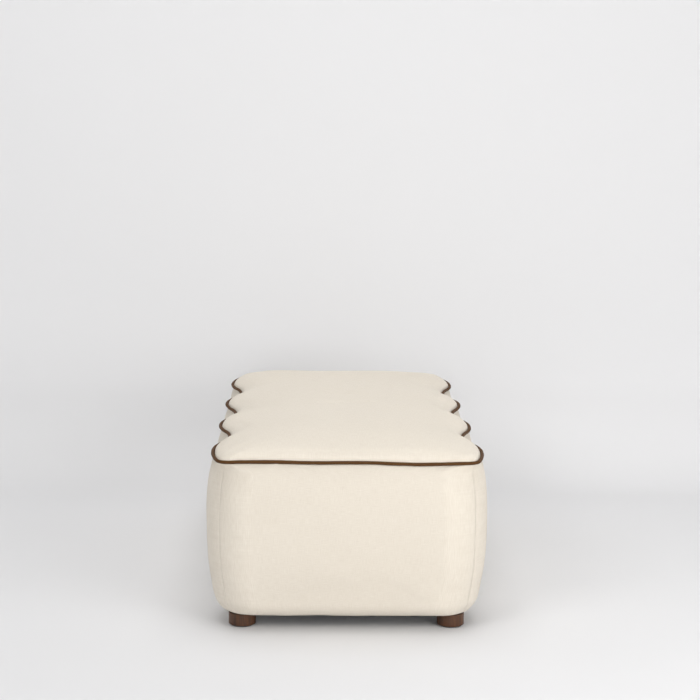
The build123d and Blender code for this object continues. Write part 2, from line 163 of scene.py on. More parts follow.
# Camera, from the photograph's perspective
camera_place = Vector((-0.0767, -4.294, 1.134))
camera_yaw = math.radians(1.201)
camera_pitch = math.radians(7.84)
camera_roll = math.radians(0.544)  # clockwise in the picture
camera_lens = 90.05


# The outline as rings of points


def arc(centre, radius, start, end, steps):
    """Points along an arc, without its last one."""
    turn = start + (end - start) * np.arange(steps) / steps
    return np.stack([centre[0] + radius * np.cos(turn), centre[1] + radius * np.sin(turn)], 1)


def right_side(grow, depth, corner, pitch, fine):
    """Points up the right side, from the front end line to the back one, without the last."""
    edge_x, edge_y = half_width + grow, half_length + grow
    ends = (lobes_per_side - 1) / 2 * pitch
    turn = 2 * math.atan2(depth, pitch / 2)
    mean_radius = pitch / 4 / math.sin(turn)
    crest_radius, valley_radius = mean_radius + grow, mean_radius - grow
    end_radius = end_lobe_radius + grow
    end_x = edge_x - end_radius
    corner_y = edge_y - corner
    corner_x = end_x + math.sqrt((end_radius - corner) ** 2 - (corner_y - ends) ** 2)
    lean = math.atan2(corner_y - ends, corner_x - end_x)
    runs = [arc((corner_x, -corner_y), corner, -math.pi / 2, -lean, corner_steps * fine)]
    runs.append(arc((end_x, -ends), end_radius, -lean, 0, end_lobe_steps * fine))
    for i in range(lobes_per_side):
        crest = -ends + i * pitch
        middle = (edge_x - crest_radius, crest)
        if i:
            runs.append(arc(middle, crest_radius, -turn, 0, lobe_steps * fine))
        if i < lobes_per_side - 1:
            runs.append(arc(middle, crest_radius, 0, turn, lobe_steps * fine))
            hollow = (edge_x - depth + valley_radius, crest + pitch / 2)
            runs.append(arc(hollow, valley_radius, math.pi + turn, math.pi - turn, hollow_steps * fine))
    runs.append(arc((end_x, ends), end_radius, 0, lean, end_lobe_steps * fine))
    runs.append(arc((corner_x, corner_y), corner, lean, math.pi / 2, corner_steps * fine))
    return np.concatenate(runs), corner_x, edge_y


def ring_counts(fine=cover_fine):
    """How many points a ring has along a side and along an end."""
    side = 2 * (corner_steps + end_lobe_steps) + (lobes_per_side - 1) * (2 * lobe_steps + hollow_steps)
    return side * fine, end_line_steps * fine


def ring(grow, height, depth=scallop_depth, corner=None, pitch=lobe_pitch, fine=cover_fine):
    """The closed outline at a height, anticlockwise from the right end of the front end line."""
    corner = corner_radius + grow if corner is None else corner
    side, x, y = right_side(grow, depth, corner, pitch, fine)
    steps = ring_counts(fine)[1]
    share = (np.arange(steps) / steps)[:, None]
    back = np.array([[x, y]]) * (1 - share) + np.array([[-x, y]]) * share
    flat = np.concatenate([side, back, -side, -back])
    return np.column_stack([flat, np.full(len(flat), height)])


def smooth_curve(points, steps):
    """A smooth curve through points, as Catmull-Rom spans of a number of steps each."""
    points = [np.array(p, float) for p in points]
    ends = [2 * points[0] - points[1]] + points + [2 * points[-1] - points[-2]]
    curve = []
    for a, b, c, d in zip(ends, ends[1:], ends[2:], ends[3:]):
        for i in range(steps):
            t = i / steps
            bend = (2 * a - 5 * b + 4 * c - d) * t**2 + (3 * b - a - 3 * c + d) * t**3
            curve.append((2 * b + (c - a) * t + bend) / 2)
    curve.append(points[-1])
    return np.array(curve)


def moved_in(curve, offset):
    """A (grow, height) curve moved inwards, away from the cover's outside."""
    along = np.gradient(curve, axis=0)
    along /= np.linalg.norm(along, axis=1, keepdims=True)
    return curve - offset * np.column_stack([along[:, 1], -along[:, 0]])


def side_curve(steps):
    """The sides' (grow, height) curve, from the turned-under edge up to the piping."""
    top = piping_low.z
    shoulder = cover_bottom + under_round
    dip = side_bulge * side_shares[0][1]
    under = []
    for i in range(under_steps):
        turn = i * math.pi / (2 * under_steps)
        grow = (dip + under_round) * math.sin(turn) - under_round
        under.append((grow, shoulder - under_round * math.cos(turn)))
    rise = [(side_bulge * bulge, shoulder + (top - shoulder) * share) for share, bulge in side_shares]
    return smooth_curve(under + rise + [(-top_tuck, top)], steps)


def side_corner(height):
    """The corners' radius at a height of the sides."""
    down = min((piping_low.z - height) / upper_corner_blend, 1)
    up = min((height - cover_bottom) / lower_corner_blend, 1)
    upper = corner_radius + (soft_corner_radius - corner_radius) * math.sin(down * math.pi / 2)
    lower = lower_corner_radius + (soft_corner_radius - lower_corner_radius) * math.sin(up * math.pi / 2)
    return min(upper, lower)


def side_ring(grow, height, inside=0, softer=0):
    """The sides' outline at a height, moved in by inside, with softer corners or not."""
    return ring(grow - inside, height, corner=side_corner(height) - inside + softer)


def crown_curve(steps):
    """The crown's (grow, height) curve, from the seat's seam to its middle."""
    points = []
    for inset, rise in crown_shares:
        grow = -(crown_edge + (crown_reach - crown_edge) * inset)
        points.append((grow, crown_base + crown_height * rise))
    return smooth_curve(points, steps)


def crown_ring(grow, height):
    """The crown's outline at an inset, where the scallops fade and the corners grow rounder."""
    fade = min(1 + (grow + crown_edge) / (crown_reach - crown_edge), 1)
    depth = scallop_depth * (least_depth_share + (1 - least_depth_share) * fade)
    pitch = lobe_pitch * (half_length + crown_edge + grow) / half_length
    corner = corner_radius - crown_edge - crown_corner_share * (grow + crown_edge)
    corner = min(corner, widest_corner_share * (half_width + grow - depth))
    return ring(grow, height, depth, corner, pitch)


# Meshes


def new_object(name, vertices, faces):
    """A smooth-shaded mesh object in the scene."""
    mesh = bpy.data.meshes.new(name)
    mesh.from_pydata(np.asarray(vertices).tolist(), [], faces)
    mesh.update()
    mesh.polygons.foreach_set("use_smooth", [True] * len(mesh.polygons))
    made = bpy.data.objects.new(name, mesh)
    bpy.context.scene.collection.objects.link(made)
    return made


def grid_faces(rows, columns, closed, looped=False):
    """Quads of a grid of points, closed round its columns or not, and looped over its rows or not."""
    across = columns if closed else columns - 1
    faces = []
    for r in range(rows if looped else rows - 1):
        above = (r + 1) % rows * columns
        for c in range(across):
            n = (c + 1) % columns
            faces.append((r * columns + c, r * columns + n, above + n, above + c))
    return faces


def fill_ring(points, first, free):
    """Quads across a ring, which face up, as (new vertices, faces). Its own points start at first."""
    side, end = ring_counts()
    share = (np.arange(1, end) / end)[None, :, None]
    along = np.arange(1, side)
    inner = points[along][:, None] * (1 - share) + points[2 * side + end - along][:, None] * share
    index = np.empty((side + 1, end + 1), int)
    index[:, 0] = first + np.arange(side + 1)
    index[:, end] = first + 2 * side + end - np.arange(side + 1)
    index[0, 1:] = first + 2 * side + 2 * end - np.arange(1, end + 1)
    index[side] = first + side + np.arange(end + 1)
    index[1:side, 1:end] = free + np.arange((side - 1) * (end - 1)).reshape(side - 1, end - 1)
    faces = []
    for i in range(side):
        for k in range(end):
            corners = index[i, k], index[i + 1, k], index[i + 1, k + 1], index[i, k + 1]
            faces.append(tuple(int(corner) for corner in corners))
    return inner.reshape(-1, 3), faces


def closed_body(name, rows):
    """A closed body from its lowest ring up to its highest one, filled across both."""
    count = rows.shape[1]
    faces = grid_faces(len(rows), count, True)
    last = (len(rows) - 1) * count
    upper, upper_faces = fill_ring(rows[-1], last, len(rows) * count)
    lower, lower_faces = fill_ring(rows[0], 0, len(rows) * count + len(upper))
    faces += upper_faces + [face[::-1] for face in lower_faces]
    return new_object(name, np.concatenate([rows.reshape(-1, 3), upper, lower]), faces)


def outward_normals(rows):
    """Normals of rings of points stacked from the outside's lower or outer edge."""
    around = np.roll(rows, -1, 1) - np.roll(rows, 1, 1)
    up = np.gradient(rows, axis=0)
    normals = np.cross(around, up)
    return normals / np.maximum(np.linalg.norm(normals, axis=2, keepdims=True), 1e-9)


def set_cloth(piece, along):
    """Keeps each vertex's place in the flat cloth, in metres, for the weave to follow."""
    layer = piece.data.attributes.new("cloth", "FLOAT_VECTOR", "POINT")
    layer.data.foreach_set("vector", np.asarray(along, np.float32).ravel())


def lengths_along(points):
    """Running length at each of a row of points."""
    steps = np.linalg.norm(np.diff(points, axis=0), axis=1)
    return np.concatenate([[0], np.cumsum(steps)])


def thicken(piece, thickness):
    """Gives a sheet its thickness, inwards from its outside."""
    solidify = piece.modifiers.new("thickness", "SOLIDIFY")
    solidify.thickness = thickness
    solidify.offset = -1
    solidify.use_rim = True


def corner_columns():
    """The columns of a ring at the four corner seams, as (start, end) of each band."""
    side, end = ring_counts()
    count = 2 * (side + end)
    front_right = round(seam_share * corner_steps * cover_fine)
    back_right = side - front_right
    back_left, front_left = front_right + count // 2, back_right + count // 2
    return {
        "right": (front_right, back_right),
        "back": (back_right, back_left),
        "left": (back_left, front_left),
        "front": (front_left, front_right + count),
    }


class Waves:
    """Gentle seeded unevenness: a sum of waves over a flat pair of coordinates, about -1 to 1."""

    def __init__(self, seed, shortest, longest, count=14):
        draw = random.Random(seed)
        self.waves = []
        for _ in range(count):
            length = shortest * (longest / shortest) ** draw.random()
            heading = draw.uniform(0, 2 * math.pi)
            size = draw.uniform(0.6, 1)
            across, along = math.cos(heading) / length, math.sin(heading) / length
            self.waves.append((across, along, draw.uniform(0, 1), size))

    def at(self, u, v):
        total = sum(s * np.sin(2 * math.pi * (a * u + b * v + p)) for a, b, p, s in self.waves)
        return total / math.sqrt(len(self.waves))


# How far each unevenness stands out, and its waves by seed, shortest and longest length and number
side_pucker, side_pucker_reach = 0.6 * mm, 14 * mm
side_pucker_waves = Waves(11, 18 * mm, 50 * mm, 9)
side_swell, side_swell_fade = 0.5 * mm, 40 * mm
side_swell_waves = Waves(12, 90 * mm, 320 * mm)
low_lump, low_lump_height, low_lump_reach = 0.5 * mm, 8 * mm, 18 * mm
low_lump_waves = Waves(13, 34 * mm, 110 * mm, 8)
seat_pucker, seat_pucker_reach = 0.7 * mm, 12 * mm
seat_pucker_waves = Waves(21, 18 * mm, 50 * mm, 9)
seat_swell, seat_swell_fade = 0.9 * mm, 60 * mm
seat_swell_waves = Waves(22, 120 * mm, 380 * mm)
small_waver, small_waver_waves = 0.2 * mm, Waves(31, 45 * mm, 160 * mm)
long_waver, long_waver_waves = 1.35 * mm, Waves(680, 110 * mm, 520 * mm, 6)
side_waver_fade, seat_waver_fade = 40 * mm, 30 * mm
outward_waver, outward_waver_waves = 0.3 * mm, Waves(32, 40 * mm, 150 * mm)
piping_swell_share, piping_swell_waves = 0.03, Waves(33, 12 * mm, 30 * mm)
pad_gap, pad_dent, pad_dent_waves = 0.8 * mm, 0.4 * mm, Waves(41, 60 * mm, 200 * mm)
topper_gap, topper_dent, topper_dent_waves = 0.8 * mm, 0.4 * mm, Waves(42, 90 * mm, 240 * mm)
flat_cloth_waves = Waves(51, 70 * mm, 200 * mm)


# Materials


class Socket:
    """A shader socket that takes Python's operators and adds the Math nodes for them."""

    def __init__(self, shader, link):
        self.shader, self.link = shader, link

    def _math(self, operation, *values):
        return self.shader.node("ShaderNodeMath", {"operation": operation}, dict(enumerate(values)))

    def __add__(self, other):
        return self._math("ADD", self, other)

    def __radd__(self, other):
        return self._math("ADD", other, self)

    def __sub__(self, other):
        return self._math("SUBTRACT", self, other)

    def __rsub__(self, other):
        return self._math("SUBTRACT", other, self)

    def __mul__(self, other):
        return self._math("MULTIPLY", self, other)

    def __rmul__(self, other):
        return self._math("MULTIPLY", other, self)

    def __truediv__(self, other):
        return self._math("DIVIDE", self, other)

    def clamp(self):
        return self.shader.node("ShaderNodeClamp", {}, {"Value": self})

    def floor(self):
        return self._math("FLOOR", self)

    def fraction(self):
        return self._math("FRACT", self)

    def sine(self):
        return self._math("SINE", self)

    def magnitude(self):
        return self._math("ABSOLUTE", self)


class Shader:
    """A material's nodes, each added by one call."""

    def __init__(self, name):
        self.material = bpy.data.materials.new(name)
        self.material.use_nodes = True
        self.tree = self.material.node_tree
        self.tree.nodes.clear()
        self.output = self.tree.nodes.new("ShaderNodeOutputMaterial")

    def node(self, kind, settings=None, inputs=None, output=0):
        """Adds a node: its settings first, then the values or links of its sockets. Returns one output."""
        made = self.tree.nodes.new(kind)
        for name, value in (settings or {}).items():
            if name == "stops":
                self._stops(made.color_ramp, value)
            else:
                setattr(made, name, value)
        for name, value in (inputs or {}).items():
            socket = made.inputs[name]
            if isinstance(value, Socket):
                self.tree.links.new(value.link, socket)
            else:
                socket.default_value = value
        return Socket(self, made.outputs[output])

    @staticmethod
    def _stops(ramp, stops):
        while len(ramp.elements) < len(stops):
            ramp.elements.new(1)
        for element, (place, color) in zip(ramp.elements, stops):
            element.position = place
            element.color = color

    def finish(self, surface):
        self.tree.links.new(surface.link, self.output.inputs["Surface"])
        return self.material

    def place(self):
        """The place in the object, in metres."""
        return self.node("ShaderNodeTexCoord", {}, {}, "Object")

    def cloth(self):
        """The place in the flat cloth, in metres."""
        return self.node("ShaderNodeAttribute", {"attribute_name": "cloth"}, {}, "Vector")

    def parts(self, vector):
        """The three parts of a vector."""
        made = self.tree.nodes.new("ShaderNodeSeparateXYZ")
        self.tree.links.new(vector.link, made.inputs[0])
        return [Socket(self, output) for output in made.outputs]

    def stretch(self, vector, scale):
        """A vector scaled along each axis."""
        return self.node("ShaderNodeMapping", {}, {"Vector": vector, "Scale": scale})

    def noise(self, vector, scale, detail=2.0, roughness=0.5, distortion=0.0):
        inputs = {"Vector": vector, "Scale": scale, "Detail": detail}
        inputs.update({"Roughness": roughness, "Distortion": distortion})
        return self.node("ShaderNodeTexNoise", {}, inputs)

    def ramp(self, value, stops):
        return self.node("ShaderNodeValToRGB", {"stops": stops}, {"Fac": value})

    def blend_colors(self, factor, one, other, blend_type="MIX"):
        made = self.tree.nodes.new("ShaderNodeMix")
        made.data_type = "RGBA"
        made.blend_type = blend_type
        for index, value in ((0, factor), (6, one), (7, other)):
            if isinstance(value, Socket):
                self.tree.links.new(value.link, made.inputs[index])
            else:
                made.inputs[index].default_value = value
        return Socket(self, made.outputs[2])

    def tinted(self, color, tint):
        """A colour multiplied by another."""
        return self.blend_colors(1.0, color, tint, "MULTIPLY")

    def bump(self, height, distance):
        return self.node("ShaderNodeBump", {}, {"Height": height, "Distance": distance})

    def surface(self, inputs):
        return self.node("ShaderNodeBsdfPrincipled", {}, inputs)


def paint(red, green, blue):
    """A linear colour from 0 to 255 screen values."""
    def linear(value):
        value /= 255
        return value / 12.92 if value <= 0.04045 else ((value + 0.055) / 1.055) ** 2.4
    return (linear(red), linear(green), linear(blue), 1)


def woven_cloth(name, light, dark, yarn, slub, bump_depth, roughness, sheen):
    """Plain-woven cloth with uneven yarns, lighter on the yarns' crowns than between them: painted shade
    between the yarns.
    """
    shader = Shader(name)
    cloth = shader.cloth()
    wander = shader.noise(shader.stretch(cloth, (60, 60, 60)), 1.0, 2.0)
    u, v, _ = shader.parts(cloth)
    u = u + (wander - 0.5) * (yarn * 0.5)
    v = v + (wander - 0.5) * (yarn * 0.5)
    turn = math.pi / yarn
    warp = (u * turn).sine().magnitude()
    weft = (v * turn).sine().magnitude()
    over = ((u * (0.5 / yarn)).floor() + (v * (0.5 / yarn)).floor()) * 0.5
    over = over.fraction() * 2
    slub_across = shader.noise(shader.stretch(cloth, (1 / (22 * slub), 1 / slub, 1)), 1.0, 3.0, 0.6)
    slub_along = shader.noise(shader.stretch(cloth, (1 / slub, 1 / (22 * slub), 1)), 1.0, 3.0, 0.6)
    weave = warp * over + weft * (1 - over)
    height = weave * 0.6 + slub_across * 0.5 + slub_along * 0.5
    slubs = (slub_across + slub_along - 0.7).clamp()
    # The weave part of the tone is painted shade between the yarns; the slubs part is the yarns' own uneven
    # colour.
    tone = (weave * 0.35 + slubs * 0.9).clamp()
    broad = shader.noise(shader.place(), 3.0, 3.0)
    color = shader.blend_colors(tone, dark, light)
    color = shader.blend_colors(broad, color, shader.tinted(color, (0.955, 0.95, 0.935, 1)))
    inputs = {
        "Base Color": color,
        "Roughness": (0.1 * weave + (roughness - 0.05)),
        "Normal": shader.bump(height, bump_depth),
        "Sheen Weight": sheen,
        "Sheen Roughness": 0.5,
        "Specular IOR Level": 0.25,
    }
    return shader.finish(shader.surface(inputs))


def turned_walnut():
    """Dark stained wood with long upright grain and a satin finish."""
    shader = Shader("dark_walnut")
    place = shader.place()
    grain = shader.noise(shader.stretch(place, (160, 160, 9)), 1.0, 5.0, 0.62, 0.6)
    figure = shader.noise(shader.stretch(place, (30, 30, 4)), 1.0, 2.0)
    color = shader.ramp(
        grain * 0.7 + figure * 0.3,
        [(0.3, paint(46, 24, 8)), (0.5, paint(80, 45, 18)), (0.7, paint(106, 65, 30))],
    )
    specks = shader.noise(shader.stretch(place, (700, 700, 40)), 1.0, 2.0)
    pores = shader.ramp(specks, [(0.35, (0, 0, 0, 1)), (0.5, (1, 1, 1, 1))])
    color = shader.blend_colors(pores, shader.tinted(color, (0.6, 0.6, 0.6, 1)), color)
    inputs = {
        "Base Color": color,
        "Roughness": 0.34 + 0.2 * grain,
        "Normal": shader.bump(pores, 0.1 * mm),
        "Coat Weight": 0.08,
        "Coat Roughness": 0.25,
    }
    return shader.finish(shader.surface(inputs))


def birch_ply(name, tone, layers):
    """Plywood with broad grain. Boards that lie flat show their layers on the edges, by height."""
    shader = Shader(name)
    place = shader.place()
    _, _, height = shader.parts(place)
    grain = shader.noise(shader.stretch(place, (55, 5, 55)), 1.0, 4.0, 0.6, 0.5)
    dark = paint(196 * tone, 164 * tone, 121 * tone)
    light = paint(224 * tone, 196 * tone, 154 * tone)
    color = shader.ramp(grain, [(0.3, dark), (0.7, light)])
    if layers:
        layer = ((height * (layers / board_thickness)).fraction() - 0.5).magnitude()
        band = shader.ramp(layer, [(0.2, (1, 1, 1, 1)), (0.3, (0.72, 0.66, 0.58, 1))])
        normal = shader.node("ShaderNodeNewGeometry", {}, {}, "Normal")
        _, _, up = shader.parts(normal)
        edge = (1 - up.magnitude() * 1.4).clamp()
        color = shader.blend_colors(edge, color, shader.tinted(color, band))
    inputs = {"Base Color": color, "Roughness": 0.6 + 0.15 * grain, "Normal": shader.bump(grain, 0.15 * mm)}
    return shader.finish(shader.surface(inputs))


def sawn_pine():
    """Pine posts with upright grain and soft growth rings."""
    shader = Shader("sawn_pine")
    place = shader.place()
    rings = shader.noise(shader.stretch(place, (90, 90, 3)), 1.0, 3.0, 0.55, 0.8)
    fibres = shader.noise(shader.stretch(place, (600, 600, 12)), 1.0, 3.0, 0.6)
    color = shader.ramp(
        rings, [(0.35, paint(226, 190, 138)), (0.55, paint(214, 170, 114)), (0.7, paint(190, 138, 84))]
    )
    color = shader.blend_colors(fibres, shader.tinted(color, (0.88, 0.86, 0.82, 1)), color)
    inputs = {"Base Color": color, "Roughness": 0.62 + 0.12 * fibres, "Normal": shader.bump(fibres, 0.2 * mm)}
    return shader.finish(shader.surface(inputs))


def open_foam(name, red, green, blue):
    """Foam with fine open cells."""
    shader = Shader(name)
    place = shader.place()
    cells = shader.node("ShaderNodeTexVoronoi", {}, {"Vector": place, "Scale": 700.0}, "Distance")
    broad = shader.noise(place, 12.0, 3.0)
    # A darker copy of the foam colour, mixed in by the Voronoi distance: painted shade in the open cells.
    shaded_cells = paint(red * 0.8, green * 0.8, blue * 0.78)
    yellower = paint(red * 0.94, green * 0.9, blue * 0.75)
    color = shader.blend_colors(cells.clamp(), paint(red, green, blue), shaded_cells)
    color = shader.blend_colors(broad * 0.3, color, yellower)
    inputs = {"Base Color": color, "Roughness": 0.8 + 0.15 * cells, "Normal": shader.bump(cells, 0.5 * mm)}
    return shader.finish(shader.surface(inputs))


def pressed_fibre(name, light, dark, scale, depth):
    """Felt or non-woven cloth: short matted fibres."""
    shader = Shader(name)
    place = shader.place()
    fibres = shader.noise(shader.stretch(place, (scale, scale * 0.3, scale)), 1.0, 6.0, 0.75, 1.2)
    color = shader.ramp(fibres, [(0.35, dark), (0.65, light)])
    inputs = {
        "Base Color": color,
        "Roughness": 0.82 + 0.12 * fibres,
        "Normal": shader.bump(fibres, depth),
        "Sheen Weight": 0.2,
    }
    return shader.finish(shader.surface(inputs))


def zinc_plate():
    """Bright zinc plating with fine scratches and cloudy patches."""
    shader = Shader("zinc_plate")
    place = shader.place()
    cloud = shader.noise(place, 90.0, 4.0)
    scratch = shader.noise(shader.stretch(place, (900, 900, 60)), 1.0, 3.0)
    color = shader.ramp(cloud, [(0.3, paint(160, 163, 166)), (0.7, paint(198, 198, 194))])
    inputs = {
        "Base Color": color,
        "Metallic": 1.0,
        "Roughness": 0.25 + 0.25 * scratch,
        "Normal": shader.bump(scratch, 0.03 * mm),
    }
    return shader.finish(shader.surface(inputs))


cream_linen = woven_cloth(
    "cream_linen", paint(240, 233, 221), paint(219, 209, 194), 1.15 * mm, 1.0 * mm, 0.30 * mm, 0.86, 0.12
)
brown_piping = woven_cloth(
    "brown_piping", paint(105, 69, 28), paint(56, 34, 13), 0.8 * mm, 0.7 * mm, 0.16 * mm, 0.75, 0.02
)
cotton_filler = woven_cloth(
    "cotton_filler", paint(232, 226, 212), paint(190, 182, 165), 1.2 * mm, 1.0 * mm, 0.3 * mm, 0.85, 0.1
)
strap_webbing = woven_cloth(
    "strap_webbing", paint(96, 90, 82), paint(44, 41, 38), 2.2 * mm, 1.4 * mm, 0.5 * mm, 0.8, 0.1
)
jute_hessian = woven_cloth(
    "jute_hessian", paint(186, 156, 112), paint(112, 86, 54), 2.4 * mm, 1.6 * mm, 0.6 * mm, 0.9, 0.1
)
dark_walnut = turned_walnut()
base_ply = birch_ply("base_ply", 1, 9)
liner_ply = birch_ply("liner_ply", 0.93, 0)
post_pine = sawn_pine()
soft_foam = open_foam("soft_foam", 240, 232, 200)
firm_foam = open_foam("firm_foam", 196, 208, 214)
black_cambric = pressed_fibre("black_cambric", paint(40, 40, 43), paint(22, 22, 24), 900, 0.15 * mm)
grey_felt = pressed_fibre("grey_felt", paint(92, 88, 82), paint(58, 55, 51), 1400, 0.4 * mm)
zinc = zinc_plate()


def dress(piece, material, slot, *nodes):
    """Finishes a piece that stands for CAD nodes and rides on the ottoman."""
    piece.data.materials.clear()
    piece.data.materials.append(material)
    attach(piece, "root")
    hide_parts(*nodes)


# The cover


def settled(name, points, faces, pinned, pressure, most):
    """Points of a sheet after a cloth simulation that holds the pinned ones. None moves in or beyond most."""
    piece = new_object(name, points, faces)
    normals = np.empty(3 * len(points))
    piece.data.vertices.foreach_get("normal", normals)
    normals = normals.reshape(-1, 3)
    piece.vertex_groups.new(name="pinned").add([int(i) for i in pinned], 1, "REPLACE")
    cloth = piece.modifiers.new("cloth", "CLOTH")
    cloth.settings.quality = cloth_quality
    cloth.settings.vertex_group_mass = "pinned"
    cloth.settings.bending_stiffness = cloth_bending
    cloth.settings.use_pressure = True
    cloth.settings.uniform_pressure_force = pressure
    cloth.settings.shrink_min = -cloth_stretch_share
    cloth.settings.effector_weights.gravity = 0
    cloth.point_cache.frame_end = cloth_frames
    for step in range(1, cloth_frames + 1):
        bpy.context.scene.frame_set(step)
    result = piece.evaluated_get(bpy.context.evaluated_depsgraph_get())
    moved = np.empty(3 * len(points))
    result.data.vertices.foreach_get("co", moved)
    bpy.data.objects.remove(piece)
    bpy.context.scene.frame_set(1)
    shift = moved.reshape(-1, 3) - points
    inward = np.minimum((shift * normals).sum(axis=1, keepdims=True), 0)
    shift = shift - inward * normals
    size = np.maximum(np.linalg.norm(shift, axis=1, keepdims=True), 1e-9)
    return points + shift * (most * np.tanh(size / most) / size)


def seam_puckers(waves, distance, edge, reach, depth):
    """Small gathers that run out from a seam, whose points are given, and fade."""
    return depth * waves.at(edge[:, 0], edge[:, 1]) * np.exp(-distance / reach)


def side_relief(rows, curve):
    """How far the sides stand out unevenly at rings of points, and follow the top seam up or down."""
    edge = ring(0, 0)
    run = lengths_along(edge)
    climb = lengths_along(curve)
    down = (climb[-1] - climb)[:, None]
    puckers = seam_puckers(side_pucker_waves, down, edge, side_pucker_reach, side_pucker)
    x, y, z = np.moveaxis(rows, 2, 0)
    swell = side_swell * side_swell_waves.at(x + 0.6 * z, y - 0.5 * z) * np.minimum(down / side_swell_fade, 1)
    low = np.exp(-(((z - cover_bottom - low_lump_height) / low_lump_reach) ** 2))
    lumps = low_lump * low_lump_waves.at(x, y) * low
    seam = np.zeros(len(run))
    for start, _ in corner_columns().values():
        seam += np.exp(-(((run - run[start]) / seam_reach) ** 2))
    return puckers + swell + lumps - seam_draw * seam, seam_waver(edge) * np.exp(-down / side_waver_fade)


def shaped_sides():
    """The sides' points row by row from the turned-under edge up, and running lengths round and up them."""
    lip = [(under_lip_edge, cover_bottom), ((under_lip_edge - under_round) / 2, cover_bottom)]
    curve = np.concatenate([lip, side_curve(side_curve_steps)])
    rows = np.array([side_ring(grow, height) for grow, height in curve])
    reference = ring(0, 0)
    run = lengths_along(np.concatenate([reference, reference[:1]]))
    climb = lengths_along(curve)
    relief, rise = side_relief(rows, curve)
    points = rows + outward_normals(rows) * relief[:, :, None]
    points[:, :, 2] += rise
    count = points.shape[1]
    last = (len(points) - 1) * count
    held = np.concatenate([np.arange(held_rows * count), np.arange(last, last + count)])
    faces = grid_faces(len(points), count, True)
    points = settled("sides_rest", points.reshape(-1, 3), faces, held, side_pressure, most_swell)
    return points.reshape(rows.shape), run, climb


def make_bands():
    """The four side bands, cut from one shaped surface at the corner seams."""
    points, run, climb = shaped_sides()
    count = points.shape[1]
    longer_run = np.concatenate([run[:-1], run[:-1] + run[-1]])
    for side, (start, end) in corner_columns().items():
        columns = np.arange(start, end + 1)
        part = points[:, columns % count]
        u, v = np.meshgrid(longer_run[columns], climb)
        piece = new_object(f"{side}_band", part.reshape(-1, 3), grid_faces(len(part), len(columns), False))
        set_cloth(piece, np.column_stack([u.ravel(), v.ravel(), 0 * u.ravel()]))
        piece.modifiers.new("smooth", "SUBSURF").render_levels = 1
        thicken(piece, cloth_thickness)
        dress(piece, cream_linen, "cover_fabric", f"cover_{side}")


def seat_relief(rows, curve):
    """How far the seat stands out unevenly at rings of points, and follows the seam up or down."""
    climb = lengths_along(curve)
    v = climb[:, None]
    fade = np.minimum(v / seat_swell_fade, 1) * np.minimum((climb[-1] - v) / seat_swell_fade, 1)
    swell = seat_swell * seat_swell_waves.at(rows[:, :, 0], rows[:, :, 1]) * fade
    puckers = seam_puckers(seat_pucker_waves, v, rows[0], seat_pucker_reach, seat_pucker)
    return puckers + swell, seam_waver(rows[0]) * np.exp(-v / seat_waver_fade)


def make_seat_cover():
    """The seat's panel: crowned, with the scallops fading towards its middle."""
    curve = crown_curve(seat_curve_steps)
    rows = np.array([crown_ring(grow, height) for grow, height in curve])
    relief, rise = seat_relief(rows, curve)
    points = rows + outward_normals(rows) * relief[:, :, None]
    points[:, :, 2] += rise
    count = points.shape[1]
    faces = grid_faces(len(points), count, True)
    middle, middle_faces = fill_ring(points[-1], (len(points) - 1) * count, len(points) * count)
    faces += middle_faces
    vertices = np.concatenate([points.reshape(-1, 3), middle])
    vertices = settled("seat_rest", vertices, faces, range(count), seat_pressure, most_swell)
    vertices[:, 2] = np.minimum(vertices[:, 2], seat_high.z + most_swell)
    piece = new_object("seat_cover", vertices, faces)
    set_cloth(piece, vertices * [1, 1, 0])
    thicken(piece, cloth_thickness)
    dress(piece, cream_linen, "cover_fabric", "cover_top")


# Piping


def seam_waver(edge):
    """How far the seam and its piping wander up or down at points of the seam."""
    x, y = edge[:, 0], edge[:, 1]
    return small_waver * small_waver_waves.at(x, y) + long_waver * long_waver_waves.at(x, y)


def tube_points(flat, outward, section_out, section_up):
    """Rings of points round the outline, one for each point of a section."""
    rows = []
    for out, up in zip(section_out, section_up):
        place = flat + outward * np.reshape(out, (-1, 1))
        rows.append(np.column_stack([place, piping_height + up + 0 * flat[:, 0]]))
    return np.array(rows)


def round_tube(flat, outward, radii, turns, out, up):
    """Rings of points of a tube round the outline, whose section has a radius at each turn."""
    section_out = [radius * math.cos(turn) + out for radius, turn in zip(radii, turns)]
    section_up = [radius * math.sin(turn) + up for radius, turn in zip(radii, turns)]
    return tube_points(flat, outward, section_out, section_up)


